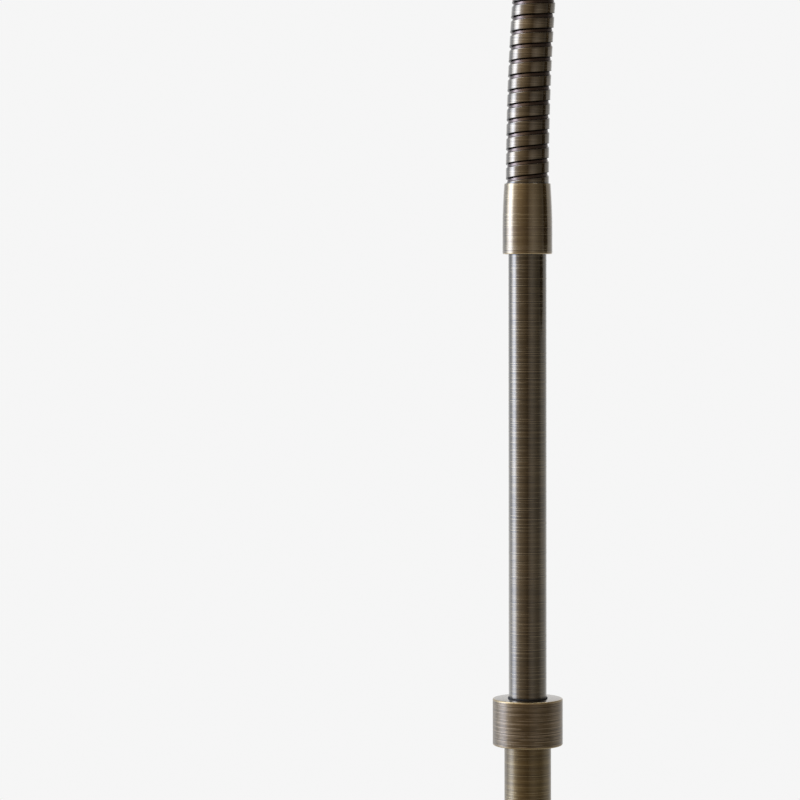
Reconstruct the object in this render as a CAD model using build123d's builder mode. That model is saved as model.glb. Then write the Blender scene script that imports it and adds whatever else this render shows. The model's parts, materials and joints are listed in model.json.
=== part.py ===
"""Floor lamp with a telescopic stem, a clamp collar, a bendable ribbed neck and a bell shade.

Millimetres, +Z up. The origin is the middle of the base's underside, and the neck arches towards +X.
"""

import os
from math import cos, radians, sin, sqrt, tan

from build123d import *

os.makedirs("parts", exist_ok=True)

# Gaps on each side between pieces
fixed_fit = 0.05
running_fit = 0.08
play = 0.3

# Base: felt, bottom plate, ballast and a spun cover
base_diameter = 250
base_height = 20
base_edge_radius = 6
cover_wall = 1.5
cover_rim_lift = 1
felt_thickness = 2.5
felt_inset = 6
plate_thickness = 2
base_screw_count = 3
base_screw_circle_radius = 90
base_screw_radius = 2.5
base_screw_head_radius = 4.5
base_screw_length = 12

# Fixing of the stem to the base, under the ballast
nipple_radius = 5
nipple_bore_radius = 3
nipple_engagement = 18
stem_nut_width = 17
stem_nut_height = 5
washer_radius = 11
washer_thickness = 1.5
nut_recess_radius = 14
nut_recess_depth = 8.5
foot_plug_length = 24

# Cable gland in the back of the base
gland_bore_radius = 3.2
gland_wall = 0.9
gland_length = 12
gland_flange_width = 2
gland_flange_thickness = 2

# Stem tubes and the collar between them
lower_tube_diameter = 16
lower_tube_wall = 1
lower_tube_length = 863
upper_tube_diameter = 13
upper_tube_wall = 1
collar_diameter = 24
collar_height = 16
collar_socket_depth = 11
collar_chamfer = 0.4
collar_bush_wall = 0.5
collar_bush_lip = 0.5
collar_bush_chamfer = 0.2
extension = 152
rise_to_stop = 121

# Clamp screw on the back of the collar
clamp_screw_radius = 2
clamp_pad_thickness = 2.1
clamp_pad_gap = 0.1
clamp_knob_radius = 5
clamp_knob_length = 8
clamp_knob_lift = 1
clamp_knob_grooves = 20
clamp_knob_groove_width = 0.8

# Bush that guides the upper tube's foot
glide_length = 14
glide_spigot_radius = 4
plug_flange_thickness = 1.5
plug_length = 14
plug_bore_radius = 2.5
clip_thickness = 1
clip_radius = 5.8
clip_groove_depth = 0.6
clip_opening = 5

# Ferrule between the upper tube and the neck
ferrule_height = 24
ferrule_diameter = 17
ferrule_top_diameter = 15.8
ferrule_straight = 7.5
ferrule_socket_depth = 8
ferrule_edge = 0.4

# Neck: short ribbed lengths on ball seats
neck_diameter = 14.7
neck_root_diameter = 13.2
neck_bore_radius = 3.5
neck_spigot_length = 15
neck_tip_length = 15
rib_pitch = 5
rib_gap = 1.35
rib_foot_chamfer = 0.1
rib_shoulder = 0.6
ribs_per_segment = 6
ball_radius = 5.7
segment_turns = [2.0] * 2 + [5.5] * 3 + [13.8] * 9

# Head, measured along its axis from the end of the neck
cup_nose_radius = 10
cup_nose_length = 5
cup_clearance = 1.3
cup_bulge = 2.5
cup_wall = 1.2
cup_web = 3
neck_nut_width = 14
neck_nut_height = 4
holder_cap_length = 18
holder_cap_top_radius = 12
holder_cap_inset = 1.2
holder_wall = 2
holder_body_thickness = 6
terminal_spacing = 16
terminal_radius = 1.75
terminal_height = 4
skirt_length = 17
skirt_wall = 3.6
skirt_thread_step = 1.4
skirt_thread_length = 18
skirt_flange_width = 1.8
skirt_flange_thickness = 2.5
shade_ring_inset = 1.5
shade_ring_height = 7
shade_ring_grips = 12
shade_ring_grip_radius = 2
shade_wall = 1
shade_top_margin = 1.5
shade_shoulder_radius = 52
shade_shoulder_height = 36
shade_half_angle = 15
shade_long_side = 227
shade_short_side = 163

# Bulb with a screw cap, seated in the lamp holder
bulb_cap_radius = 13.2
bulb_cap_length = 25
bulb_cap_wall = 0.6
bulb_tip_radius = 5
bulb_tip_height = 2.5
bulb_radius = 30
bulb_glass_length = 82
bulb_glass_wall = 1
bulb_insertion = 2
contact_shell_wall = 0.8
contact_shell_length = 18
contact_radius = 3.5
contact_stem_radius = 1.5
contact_head_thickness = 1

# Heights that follow from the sizes above
plate_bottom = felt_thickness
ballast_bottom = plate_bottom + plate_thickness
ballast_top = base_height - cover_wall
ballast_radius = base_diameter / 2 - cover_wall - fixed_fit
recess_top = ballast_bottom + nut_recess_depth
gland_radius = gland_bore_radius + gland_wall
channel_width = 2 * (gland_radius + fixed_fit)
lower_tube_top = base_height + lower_tube_length
lower_bore_radius = lower_tube_diameter / 2 - lower_tube_wall
upper_bore_radius = upper_tube_diameter / 2 - upper_tube_wall
collar_bottom = lower_tube_top - collar_socket_depth
collar_top = collar_bottom + collar_height
clamp_z = collar_bottom + collar_height / 2
guide_bore_radius = upper_tube_diameter / 2 + running_fit
collar_bush_radius = guide_bore_radius + collar_bush_wall
ferrule_bottom = collar_top + extension
ferrule_top = ferrule_bottom + ferrule_height
glide_top = clamp_z - clamp_screw_radius - rise_to_stop
glide_bottom = glide_top - glide_length
plug_flange_bottom = glide_top + play
upper_tube_bottom = plug_flange_bottom + plug_flange_thickness
upper_tube_top = ferrule_bottom + ferrule_socket_depth
segment_length = rib_pitch * ribs_per_segment
segment_count = len(segment_turns)
neck_length = segment_length * segment_count

# Steps along the head's axis, and radii that step out from the bulb's cap
web_end = neck_spigot_length + cup_web
tip_end = neck_spigot_length + neck_tip_length
cap_start = web_end + neck_nut_height
cap_end = cap_start + holder_cap_length
body_end = cap_end + holder_body_thickness
cup_length = body_end + skirt_length
bulb_seat = cup_length - bulb_tip_height
shell_bore = bulb_cap_radius + running_fit
skirt_bore = shell_bore + contact_shell_wall + fixed_fit
skirt_radius = skirt_bore + skirt_wall
holder_cap_radius = skirt_radius - holder_cap_inset
skirt_thread_radius = skirt_radius + skirt_thread_step
skirt_flange_radius = skirt_thread_radius + skirt_flange_width
cup_mouth_radius = skirt_flange_radius + cup_clearance + cup_wall
shade_top_radius = cup_mouth_radius + shade_top_margin
bulb_neck_radius = bulb_cap_radius - bulb_cap_wall - fixed_fit


def neck_plane(along):
    """Plane square to the neck's centre line, that far along it from the top of the ferrule."""
    x, z, heading = 0.0, ferrule_top, 0.0
    for turn in segment_turns:
        step = min(along, segment_length)
        bend_radius = segment_length / radians(turn)
        turned = heading + step / bend_radius
        x += bend_radius * (cos(heading) - cos(turned))
        z += bend_radius * (sin(turned) - sin(heading))
        heading = turned
        along -= step
    x += along * sin(heading)
    z += along * cos(heading)
    return Plane(origin=(x, 0, z), x_dir=(0, 1, 0), z_dir=(sin(heading), 0, cos(heading)))


# The head hangs on the end of the neck: its axis runs down and away from the stem
neck_start = neck_plane(0)
neck_end = neck_plane(neck_length)
head_outward = Vector(-neck_end.z_dir.Z, 0, neck_end.z_dir.X)
head = Plane(origin=neck_end.origin, x_dir=head_outward, z_dir=neck_end.z_dir)
head_section = Plane(origin=neck_end.origin, x_dir=head_outward, z_dir=(0, 1, 0))
head_axis = Axis(origin=neck_end.origin, direction=neck_end.z_dir)


# Felt: full disc under the bottom plate, which keeps the base off the floor
with BuildPart() as base_felt:
    with BuildSketch(Plane.XY):
        Circle(base_diameter / 2 - felt_inset)
    extrude(amount=felt_thickness)
base_felt.part.label = "base_felt"
export_step(base_felt.part, "parts/base_felt.step")


# Bottom plate: steel disc that closes the underside, with countersunk holes
with BuildPart() as base_plate:
    with BuildSketch(Plane.XY.offset(plate_bottom)):
        Circle(ballast_radius)
    extrude(amount=plate_thickness)
    with PolarLocations(base_screw_circle_radius, base_screw_count):
        with Locations((0, 0, plate_bottom)):
            Cone(
                base_screw_head_radius + fixed_fit,
                base_screw_radius + fixed_fit,
                plate_thickness,
                align=(Align.CENTER, Align.CENTER, Align.MIN),
                mode=Mode.SUBTRACT,
            )
base_plate.part.label = "base_plate"
export_step(base_plate.part, "parts/base_plate.step")


# Screws: flush with the plate's underside and threaded into the ballast
with BuildPart() as base_screws:
    with PolarLocations(base_screw_circle_radius, base_screw_count):
        with Locations((0, 0, plate_bottom)):
            Cone(
                base_screw_head_radius,
                base_screw_radius,
                plate_thickness,
                align=(Align.CENTER, Align.CENTER, Align.MIN),
            )
            Cylinder(
                base_screw_radius,
                base_screw_length,
                align=(Align.CENTER, Align.CENTER, Align.MIN),
            )
base_screws.part.label = "base_screws"
export_step(base_screws.part, "parts/base_screws.step")


# Ballast: cast-iron disc with a recess for the nut and a channel for the cable
with BuildPart() as base_ballast:
    with BuildSketch(Plane.XY.offset(ballast_bottom)):
        Circle(ballast_radius)
    extrude(amount=ballast_top - ballast_bottom)
    fillet(
        base_ballast.edges().filter_by(GeomType.CIRCLE).sort_by(Axis.Z)[-1],
        base_edge_radius - cover_wall,
    )
    with BuildSketch(Plane.XY.offset(ballast_bottom)):
        Circle(nut_recess_radius)
    extrude(amount=nut_recess_depth, mode=Mode.SUBTRACT)
    with BuildSketch(Plane.XY.offset(ballast_bottom)):
        with Locations((-ballast_radius / 2, 0)):
            Rectangle(ballast_radius, channel_width)
    extrude(amount=channel_width, mode=Mode.SUBTRACT)
    with BuildSketch(Plane.XY.offset(ballast_bottom)):
        Circle(nipple_radius + fixed_fit)
        with PolarLocations(base_screw_circle_radius, base_screw_count):
            Circle(base_screw_radius + fixed_fit)
    extrude(amount=ballast_top - ballast_bottom, mode=Mode.SUBTRACT)
base_ballast.part.label = "base_ballast"
export_step(base_ballast.part, "parts/base_ballast.step")


# Cover: spun shell over the ballast, with a soft edge and a hole for the nipple and the gland
gland_z = ballast_bottom + channel_width / 2
gland_plane = Plane(origin=(-base_diameter / 2, 0, gland_z), x_dir=(0, 1, 0), z_dir=(-1, 0, 0))
with BuildPart() as base_cover:
    with BuildSketch(Plane.XY.offset(cover_rim_lift)):
        Circle(base_diameter / 2)
    extrude(amount=base_height - cover_rim_lift)
    fillet(base_cover.edges().sort_by(Axis.Z)[-1], base_edge_radius)
    offset(amount=-cover_wall, openings=base_cover.faces().sort_by(Axis.Z)[0])
    with BuildSketch(Plane.XY.offset(base_height)):
        Circle(nipple_radius + fixed_fit)
    extrude(amount=-2 * cover_wall, mode=Mode.SUBTRACT)
    with BuildSketch(gland_plane):
        Circle(gland_radius + fixed_fit)
    extrude(amount=-3 * cover_wall, mode=Mode.SUBTRACT)
base_cover.part.label = "base_cover"
export_step(base_cover.part, "parts/base_cover.step")


# Cable gland: flanged bush through the cover's side, into the ballast's channel
with BuildPart() as cable_gland:
    with BuildSketch(gland_plane):
        Circle(gland_radius)
    extrude(amount=-gland_length)
    with BuildSketch(gland_plane):
        Circle(gland_radius + gland_flange_width)
    extrude(amount=gland_flange_thickness)
    fillet(cable_gland.edges().sort_by(Axis.X)[0], gland_flange_thickness / 2)
    with BuildSketch(gland_plane.offset(gland_flange_thickness)):
        Circle(gland_bore_radius)
    extrude(amount=-gland_length - gland_flange_thickness, mode=Mode.SUBTRACT)
cable_gland.part.label = "cable_gland"
export_step(cable_gland.part, "parts/cable_gland.step")


# Nipple: hollow threaded rod that pulls the stem down on the base
nipple_bottom = recess_top - washer_thickness - stem_nut_height
with BuildPart() as stem_nipple:
    with BuildSketch(Plane.XY.offset(nipple_bottom)):
        Circle(nipple_radius)
        Circle(nipple_bore_radius, mode=Mode.SUBTRACT)
    extrude(amount=base_height + nipple_engagement - nipple_bottom)
stem_nipple.part.label = "stem_nipple"
export_step(stem_nipple.part, "parts/stem_nipple.step")


# Washer: between the nut and the roof of the recess
with BuildPart() as stem_washer:
    with BuildSketch(Plane.XY.offset(recess_top - washer_thickness)):
        Circle(washer_radius)
        Circle(nipple_radius + fixed_fit, mode=Mode.SUBTRACT)
    extrude(amount=washer_thickness)
stem_washer.part.label = "stem_washer"
export_step(stem_washer.part, "parts/stem_washer.step")


# Nut: hexagon on the nipple, under the washer
with BuildPart() as stem_nut:
    with BuildSketch(Plane.XY.offset(nipple_bottom)):
        RegularPolygon(stem_nut_width / 2, 6, major_radius=False)
        Circle(nipple_radius + fixed_fit, mode=Mode.SUBTRACT)
    extrude(amount=stem_nut_height)
stem_nut.part.label = "stem_nut"
export_step(stem_nut.part, "parts/stem_nut.step")


# Foot plug: threaded bush inside the foot of the lower tube
with BuildPart() as foot_plug:
    with BuildSketch(Plane.XY.offset(base_height)):
        Circle(lower_bore_radius - fixed_fit)
        Circle(nipple_radius + fixed_fit, mode=Mode.SUBTRACT)
    extrude(amount=foot_plug_length)
foot_plug.part.label = "foot_plug"
export_step(foot_plug.part, "parts/foot_plug.step")


# Lower tube: stands on the cover, with a hole near its top for the clamp's pad
clamp_plane = Plane(origin=(0, 0, clamp_z), x_dir=(1, 0, 0), z_dir=(0, 1, 0))
with BuildPart() as lower_tube:
    with BuildSketch(Plane.XY.offset(base_height)):
        Circle(lower_tube_diameter / 2)
        Circle(lower_bore_radius, mode=Mode.SUBTRACT)
    extrude(amount=lower_tube_length)
    with BuildSketch(clamp_plane):
        Circle(clamp_screw_radius + running_fit)
    extrude(amount=lower_tube_diameter, mode=Mode.SUBTRACT)
lower_tube.part.label = "lower_tube"
export_step(lower_tube.part, "parts/lower_tube.step")


# Collar: sits on the lower tube's end and holds the bush and the clamp screw
with BuildPart() as clamp_collar:
    with BuildSketch(Plane.XY.offset(collar_bottom)):
        Circle(collar_diameter / 2)
    extrude(amount=collar_height)
    chamfer(clamp_collar.edges().filter_by(GeomType.CIRCLE), collar_chamfer)
    with BuildSketch(Plane.XY.offset(collar_bottom)):
        Circle(lower_tube_diameter / 2 + fixed_fit)
    extrude(amount=collar_socket_depth, mode=Mode.SUBTRACT)
    with BuildSketch(Plane.XY.offset(collar_bottom)):
        Circle(collar_bush_radius + fixed_fit)
    extrude(amount=collar_height, mode=Mode.SUBTRACT)
    with BuildSketch(clamp_plane):
        Circle(clamp_screw_radius + running_fit)
    extrude(amount=collar_diameter, mode=Mode.SUBTRACT)
clamp_collar.part.label = "clamp_collar"
export_step(clamp_collar.part, "parts/clamp_collar.step")


# Collar bush: thin sleeve on the lower tube's end that guides the upper tube and stands proud of the collar
with BuildPart() as collar_bush:
    with BuildSketch(Plane.XY.offset(lower_tube_top)):
        Circle(collar_bush_radius)
    extrude(amount=collar_top - lower_tube_top + collar_bush_lip)
    chamfer(collar_bush.edges().sort_by(Axis.Z)[-1], collar_bush_chamfer)
    with BuildSketch(Plane.XY.offset(lower_tube_top)):
        Circle(guide_bore_radius)
    extrude(amount=collar_top - lower_tube_top + collar_bush_lip, mode=Mode.SUBTRACT)
collar_bush.part.label = "collar_bush"
export_step(collar_bush.part, "parts/collar_bush.step")


# Clamp pad: soft plug between the screw's tip and the upper tube
pad_start = upper_tube_diameter / 2 + clamp_pad_gap
pad_end = pad_start + clamp_pad_thickness
with BuildPart() as clamp_pad:
    with BuildSketch(clamp_plane.offset(pad_start)):
        Circle(clamp_screw_radius)
    extrude(amount=clamp_pad_thickness)
clamp_pad.part.label = "clamp_pad"
export_step(clamp_pad.part, "parts/clamp_pad.step")


# Clamp screw: plain shank that stands for the thread, up to the knob's outer face
knob_start = collar_diameter / 2 + clamp_knob_lift
with BuildPart() as clamp_screw:
    with BuildSketch(clamp_plane.offset(pad_end)):
        Circle(clamp_screw_radius)
    extrude(amount=knob_start + clamp_knob_length - pad_end)
clamp_screw.part.label = "clamp_screw"
export_step(clamp_screw.part, "parts/clamp_screw.step")


# Clamp knob: small thumb wheel with straight grooves, pressed on the screw
with BuildPart() as clamp_knob:
    with BuildSketch(clamp_plane.offset(knob_start)):
        Circle(clamp_knob_radius)
    extrude(amount=clamp_knob_length)
    chamfer(clamp_knob.edges().filter_by(GeomType.CIRCLE), clamp_knob_groove_width / 2)
    with BuildSketch(clamp_plane.offset(knob_start)):
        Circle(clamp_screw_radius + fixed_fit)
        with PolarLocations(clamp_knob_radius, clamp_knob_grooves):
            Rectangle(clamp_knob_groove_width, clamp_knob_groove_width, rotation=45)
    extrude(amount=clamp_knob_length, mode=Mode.SUBTRACT)
clamp_knob.part.label = "clamp_knob"
export_step(clamp_knob.part, "parts/clamp_knob.step")


# Glide bush: slides in the lower tube and stops under the collar
with BuildPart() as glide_bush:
    with BuildSketch(Plane.XY.offset(glide_bottom)):
        Circle(lower_bore_radius - running_fit)
        Circle(glide_spigot_radius + running_fit, mode=Mode.SUBTRACT)
    extrude(amount=glide_length)
glide_bush.part.label = "glide_bush"
export_step(glide_bush.part, "parts/glide_bush.step")


# Plug in the upper tube's foot: its spigot turns in the glide bush and carries the clip
clip_top = glide_bottom - play
spigot_bottom = clip_top - 2 * clip_thickness
with BuildPart() as upper_tube_plug:
    with BuildSketch(Plane.XY.offset(spigot_bottom)):
        Circle(glide_spigot_radius)
    extrude(amount=plug_flange_bottom - spigot_bottom)
    with BuildSketch(Plane.XY.offset(plug_flange_bottom)):
        Circle(upper_tube_diameter / 2)
    extrude(amount=plug_flange_thickness)
    with BuildSketch(Plane.XY.offset(upper_tube_bottom)):
        Circle(upper_bore_radius - fixed_fit)
    extrude(amount=plug_length)
    with BuildSketch(Plane.XY.offset(clip_top)):
        Circle(glide_spigot_radius)
        Circle(glide_spigot_radius - clip_groove_depth, mode=Mode.SUBTRACT)
    extrude(amount=-clip_thickness, mode=Mode.SUBTRACT)
    with BuildSketch(Plane.XY.offset(spigot_bottom)):
        Circle(plug_bore_radius)
    extrude(amount=upper_tube_bottom + plug_length - spigot_bottom, mode=Mode.SUBTRACT)
upper_tube_plug.part.label = "upper_tube_plug"
export_step(upper_tube_plug.part, "parts/upper_tube_plug.step")


# Clip: open spring ring in the spigot's groove, which holds the bush on
with BuildPart() as glide_clip:
    with BuildSketch(Plane.XY.offset(clip_top - clip_thickness)):
        Circle(clip_radius)
        Circle(glide_spigot_radius - clip_groove_depth + fixed_fit, mode=Mode.SUBTRACT)
        with Locations((clip_radius, 0)):
            Rectangle(2 * clip_radius, clip_opening, mode=Mode.SUBTRACT)
    extrude(amount=clip_thickness - fixed_fit)
glide_clip.part.label = "glide_clip"
export_step(glide_clip.part, "parts/glide_clip.step")


# Upper tube: from the plug's flange up into the ferrule
with BuildPart() as upper_tube:
    with BuildSketch(Plane.XY.offset(upper_tube_bottom)):
        Circle(upper_tube_diameter / 2)
        Circle(upper_bore_radius, mode=Mode.SUBTRACT)
    extrude(amount=upper_tube_top - upper_tube_bottom)
upper_tube.part.label = "upper_tube"
export_step(upper_tube.part, "parts/upper_tube.step")


# Ferrule: turned sleeve, straight at the foot and drawn in on a long arc to the neck
spigot_hole = neck_root_diameter / 2 + fixed_fit
with BuildPart() as neck_ferrule:
    with BuildSketch(Plane.XZ):
        with BuildLine():
            Polyline(
                (upper_tube_diameter / 2 + fixed_fit, ferrule_bottom),
                (ferrule_diameter / 2 - ferrule_edge, ferrule_bottom),
                (ferrule_diameter / 2, ferrule_bottom + ferrule_edge),
                (ferrule_diameter / 2, ferrule_bottom + ferrule_straight),
            )
            TangentArc(
                (ferrule_diameter / 2, ferrule_bottom + ferrule_straight),
                (ferrule_top_diameter / 2, ferrule_top - ferrule_edge),
                tangent=(0, 1),
            )
            Polyline(
                (ferrule_top_diameter / 2, ferrule_top - ferrule_edge),
                (ferrule_top_diameter / 2 - ferrule_edge, ferrule_top),
                (spigot_hole, ferrule_top),
                (spigot_hole, ferrule_top - neck_spigot_length),
                (upper_bore_radius, ferrule_top - neck_spigot_length),
                (upper_bore_radius, upper_tube_top),
                (upper_tube_diameter / 2 + fixed_fit, upper_tube_top),
                (upper_tube_diameter / 2 + fixed_fit, ferrule_bottom),
            )
        make_face()
    revolve(axis=Axis.Z)
neck_ferrule.part.label = "neck_ferrule"
export_step(neck_ferrule.part, "parts/neck_ferrule.step")


# Neck: each length has its ribs, a ball at its upper end and a seat for the ball below
root_radius = neck_root_diameter / 2
rib_radius = neck_diameter / 2
socket_radius = ball_radius + 2 * running_fit
for number in range(1, segment_count + 1):
    start = (number - 1) * segment_length
    end = number * segment_length
    first = number == 1
    last = number == segment_count
    rings = []
    if first:
        rings += [(neck_start.offset(-neck_spigot_length), root_radius), (neck_start, root_radius)]
    for rib in range(ribs_per_segment):
        foot = start + rib * rib_pitch + rib_gap / 2
        crest = foot + rib_pitch - rib_gap
        rings += [
            (neck_plane(foot), root_radius),
            (neck_plane(foot + rib_foot_chamfer), rib_radius),
            (neck_plane(crest - rib_shoulder), rib_radius),
            (neck_plane(crest), root_radius),
        ]
    if last:
        rings += [(neck_end, root_radius), (neck_end.offset(neck_spigot_length), root_radius)]
    with BuildPart() as neck_segment:
        for ring_plane, ring_radius in rings:
            with BuildSketch(ring_plane):
                Circle(ring_radius)
        loft(ruled=True)
        if last:
            with BuildSketch(neck_end.offset(neck_spigot_length)):
                Circle(nipple_radius)
            extrude(amount=neck_tip_length)
        else:
            with Locations(neck_plane(end)):
                Sphere(ball_radius)
        if not first:
            with Locations(neck_plane(start)):
                Sphere(socket_radius, mode=Mode.SUBTRACT)
        bore_from = neck_plane(start)
        bore_to = neck_plane(end if last else end + 2 * ball_radius)
        with BuildLine():
            ThreePointArc(bore_from.origin, neck_plane((start + end) / 2).origin, bore_to.origin)
        with BuildSketch(bore_from):
            Circle(neck_bore_radius)
        sweep(mode=Mode.SUBTRACT)
        if first:
            with BuildSketch(neck_start):
                Circle(neck_bore_radius)
            extrude(amount=-neck_spigot_length, mode=Mode.SUBTRACT)
        if last:
            with BuildSketch(neck_end):
                Circle(neck_bore_radius)
            extrude(amount=tip_end, mode=Mode.SUBTRACT)
    neck_segment.part.label = f"neck_segment_{number:02d}"
    export_step(neck_segment.part, f"parts/neck_segment_{number:02d}.step")


# Socket cup: spun cup with a solid nose, which the neck's end enters
nose_bore = root_radius + fixed_fit
cup_chord = Vector(cup_mouth_radius - cup_nose_radius, cup_length - cup_nose_length)
cup_middle = Vector(cup_nose_radius, cup_nose_length) + cup_chord / 2
cup_out = Vector(cup_chord.Y, -cup_chord.X).normalized()
cup_side = cup_middle + cup_out * cup_bulge
cup_inside = cup_middle + cup_out * (cup_bulge - cup_wall)
with BuildPart() as socket_cup:
    with BuildSketch(head_section):
        with BuildLine():
            Polyline((0, 0), (cup_nose_radius, 0), (cup_nose_radius, cup_nose_length))
            ThreePointArc(
                (cup_nose_radius, cup_nose_length), cup_side, (cup_mouth_radius, cup_length)
            )
            Polyline((cup_mouth_radius, cup_length), (0, cup_length), (0, 0))
        make_face()
    revolve(axis=head_axis)
    with BuildSketch(head_section):
        with BuildLine():
            ThreePointArc(
                (cup_nose_radius - cup_wall, cup_nose_length),
                cup_inside,
                (cup_mouth_radius - cup_wall, cup_length),
            )
            Polyline(
                (cup_mouth_radius - cup_wall, cup_length),
                (0, cup_length),
                (0, cup_nose_length),
                (cup_nose_radius - cup_wall, cup_nose_length),
            )
        make_face()
        with Locations((0, web_end / 2)):
            Rectangle(2 * cup_mouth_radius, web_end, mode=Mode.SUBTRACT)
    revolve(axis=head_axis, mode=Mode.SUBTRACT)
    with BuildSketch(head):
        Circle(nose_bore)
    extrude(amount=neck_spigot_length, mode=Mode.SUBTRACT)
    with BuildSketch(head):
        Circle(nipple_radius + fixed_fit)
    extrude(amount=web_end, mode=Mode.SUBTRACT)
socket_cup.part.label = "socket_cup"
export_step(socket_cup.part, "parts/socket_cup.step")


# Neck nut: holds the cup on the neck's threaded tip
with BuildPart() as neck_nut:
    with BuildSketch(head.offset(web_end)):
        RegularPolygon(neck_nut_width / 2, 6, major_radius=False)
        Circle(nipple_radius + fixed_fit, mode=Mode.SUBTRACT)
    extrude(amount=neck_nut_height)
neck_nut.part.label = "neck_nut"
export_step(neck_nut.part, "parts/neck_nut.step")


# Lamp-holder cap: moulded dome screwed on the neck's tip
cap_slope_end = cap_start + 2 * (holder_cap_radius - holder_cap_top_radius)
with BuildPart() as holder_cap:
    with BuildSketch(head_section):
        with BuildLine():
            Polyline(
                (nipple_radius + fixed_fit, cap_start),
                (holder_cap_top_radius, cap_start),
                (holder_cap_radius, cap_slope_end),
                (holder_cap_radius, cap_end),
                (holder_cap_radius - holder_wall, cap_end),
                (holder_cap_radius - holder_wall, cap_slope_end),
                (holder_cap_top_radius - holder_wall, cap_start + holder_wall),
                (nipple_radius + fixed_fit, cap_start + holder_wall),
                close=True,
            )
        make_face()
    revolve(axis=head_axis)
holder_cap.part.label = "holder_cap"
export_step(holder_cap.part, "parts/holder_cap.step")


# Insulator: disc that closes the cap and carries the terminals and the contacts
with BuildPart() as holder_body:
    with BuildSketch(head.offset(cap_end)):
        Circle(holder_cap_radius)
        Circle(contact_stem_radius + fixed_fit, mode=Mode.SUBTRACT)
        with GridLocations(terminal_spacing, 0, 2, 1):
            Circle(terminal_radius + fixed_fit, mode=Mode.SUBTRACT)
    extrude(amount=holder_body_thickness)
holder_body.part.label = "holder_body"
export_step(holder_body.part, "parts/holder_body.step")


# Terminal screws: one for each wire, standing up into the cap
with BuildPart() as terminal_screws:
    with BuildSketch(head.offset(cap_end - terminal_height)):
        with GridLocations(terminal_spacing, 0, 2, 1):
            Circle(terminal_radius)
    extrude(amount=terminal_height + holder_body_thickness)
terminal_screws.part.label = "terminal_screws"
export_step(terminal_screws.part, "parts/terminal_screws.step")


# Skirt: sleeve below the insulator, with a flange for the shade and a thread for its ring
flange_start = cup_length - skirt_flange_thickness
skirt_end = cup_length + skirt_thread_length
with BuildPart() as holder_skirt:
    with BuildSketch(head.offset(body_end)):
        Circle(skirt_radius)
    extrude(amount=cup_length - body_end)
    with BuildSketch(head.offset(flange_start)):
        Circle(skirt_flange_radius)
    extrude(amount=skirt_flange_thickness)
    with BuildSketch(head.offset(cup_length)):
        Circle(skirt_thread_radius)
    extrude(amount=skirt_thread_length)
    with BuildSketch(head.offset(body_end)):
        Circle(skirt_bore)
    extrude(amount=skirt_end - body_end, mode=Mode.SUBTRACT)
holder_skirt.part.label = "holder_skirt"
export_step(holder_skirt.part, "parts/holder_skirt.step")


# Contact shell: brass sleeve in the skirt, which stands for the lamp holder's thread
with BuildPart() as contact_shell:
    with BuildSketch(head.offset(bulb_seat)):
        Circle(shell_bore + contact_shell_wall)
        Circle(shell_bore, mode=Mode.SUBTRACT)
    extrude(amount=contact_shell_length)
contact_shell.part.label = "contact_shell"
export_step(contact_shell.part, "parts/contact_shell.step")


# Centre contact: pin through the insulator, with a head that the bulb's tip rests on
tip_start = bulb_seat - bulb_tip_height
with BuildPart() as contact_centre:
    with BuildSketch(head.offset(cap_end)):
        Circle(contact_stem_radius)
    extrude(amount=tip_start - cap_end)
    with BuildSketch(head.offset(tip_start)):
        Circle(contact_radius)
    extrude(amount=-contact_head_thickness)
contact_centre.part.label = "contact_centre"
export_step(contact_centre.part, "parts/contact_centre.step")


# Shade: spun bell, a flat top, a round shoulder and a cone, cut off at a slant
cone_rise = tan(radians(shade_half_angle))
shoulder_end = cup_length + shade_shoulder_height
long_end = cup_length + shade_long_side
long_radius = shade_shoulder_radius + cone_rise * (long_end - shoulder_end)
short_end = cup_length + shade_short_side
short_radius = shade_shoulder_radius + cone_rise * (short_end - shoulder_end)
blank_end = long_end + shade_long_side / 10
blank_radius = shade_shoulder_radius + cone_rise * (blank_end - shoulder_end)
cone_up = (-sin(radians(shade_half_angle)), -cos(radians(shade_half_angle)))
with BuildPart() as shade:
    with BuildSketch(head_section):
        with BuildLine():
            Line((blank_radius, blank_end), (shade_shoulder_radius, shoulder_end))
            TangentArc(
                (shade_shoulder_radius, shoulder_end),
                (shade_top_radius, cup_length),
                tangent=cone_up,
            )
            Line((shade_top_radius, cup_length), (skirt_thread_radius + fixed_fit, cup_length))
            offset(amount=shade_wall, side=Side.RIGHT)
        make_face()
    revolve(axis=head_axis)
    mouth = Plane(
        origin=head_section.from_local_coords((long_radius, long_end, 0)),
        x_dir=(0, 1, 0),
        z_dir=head_section.from_local_coords((long_end - short_end, -long_radius - short_radius, 0))
        - head_section.origin,
    )
    split(bisect_by=mouth, keep=Keep.TOP)
shade.part.label = "shade"
export_step(shade.part, "parts/shade.step")


# Shade ring: screwed on the skirt, under the shade's flat top
ring_start = cup_length + shade_wall
with BuildPart() as shade_ring:
    with BuildSketch(head.offset(ring_start)):
        Circle(shade_top_radius - shade_ring_inset)
        with PolarLocations(shade_top_radius - shade_ring_inset, shade_ring_grips):
            Circle(shade_ring_grip_radius, mode=Mode.SUBTRACT)
        Circle(skirt_thread_radius + fixed_fit, mode=Mode.SUBTRACT)
    extrude(amount=shade_ring_height)
shade_ring.part.label = "shade_ring"
export_step(shade_ring.part, "parts/shade_ring.step")


# Bulb tip: solder contact under the insulator of the cap
with BuildPart() as bulb_tip:
    with BuildSketch(head.offset(tip_start)):
        Circle(bulb_tip_radius)
    extrude(amount=bulb_tip_height)
    fillet(bulb_tip.edges().group_by(SortBy.DISTANCE)[0], bulb_tip_height / 3)
bulb_tip.part.label = "bulb_tip"
export_step(bulb_tip.part, "parts/bulb_tip.step")


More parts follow.
